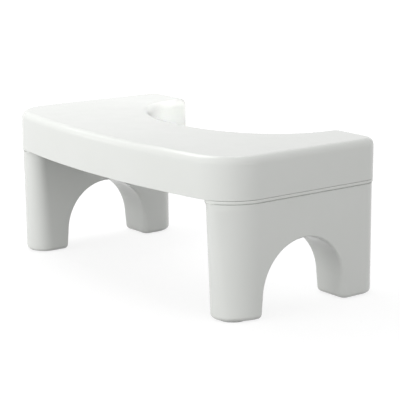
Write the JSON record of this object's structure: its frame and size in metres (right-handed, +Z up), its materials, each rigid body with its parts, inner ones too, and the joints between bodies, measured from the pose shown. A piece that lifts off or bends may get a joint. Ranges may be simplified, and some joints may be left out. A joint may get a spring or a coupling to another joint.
{
  "type": "toilet footstool",
  "caption": "Free-standing U-shaped step with a bowed front edge, a smooth rounded tread, a deep recess that goes round a toilet's foot, and a hollow arched leg under each end.",
  "frame": {"origin": "on the floor, under the middle of the stool's bounding box", "axes": "+X along the length towards the stool's right end, which is on the left of a seated user; +Y towards the toilet, the side with the recess; +Z up"},
  "size_m": [0.4248, 0.238, 0.176],
  "materials": {
    "white_plastic": "smooth gloss, as moulded",
    "pad_rubber": "matt"
  },
  "bodies": {
    "root": {"deck": "white_plastic", "right_leg": "white_plastic", "left_leg": "white_plastic", "right_front_foot_pad": "pad_rubber", "right_rear_foot_pad": "pad_rubber", "left_front_foot_pad": "pad_rubber", "left_rear_foot_pad": "pad_rubber"}
  },
  "joints": []
}
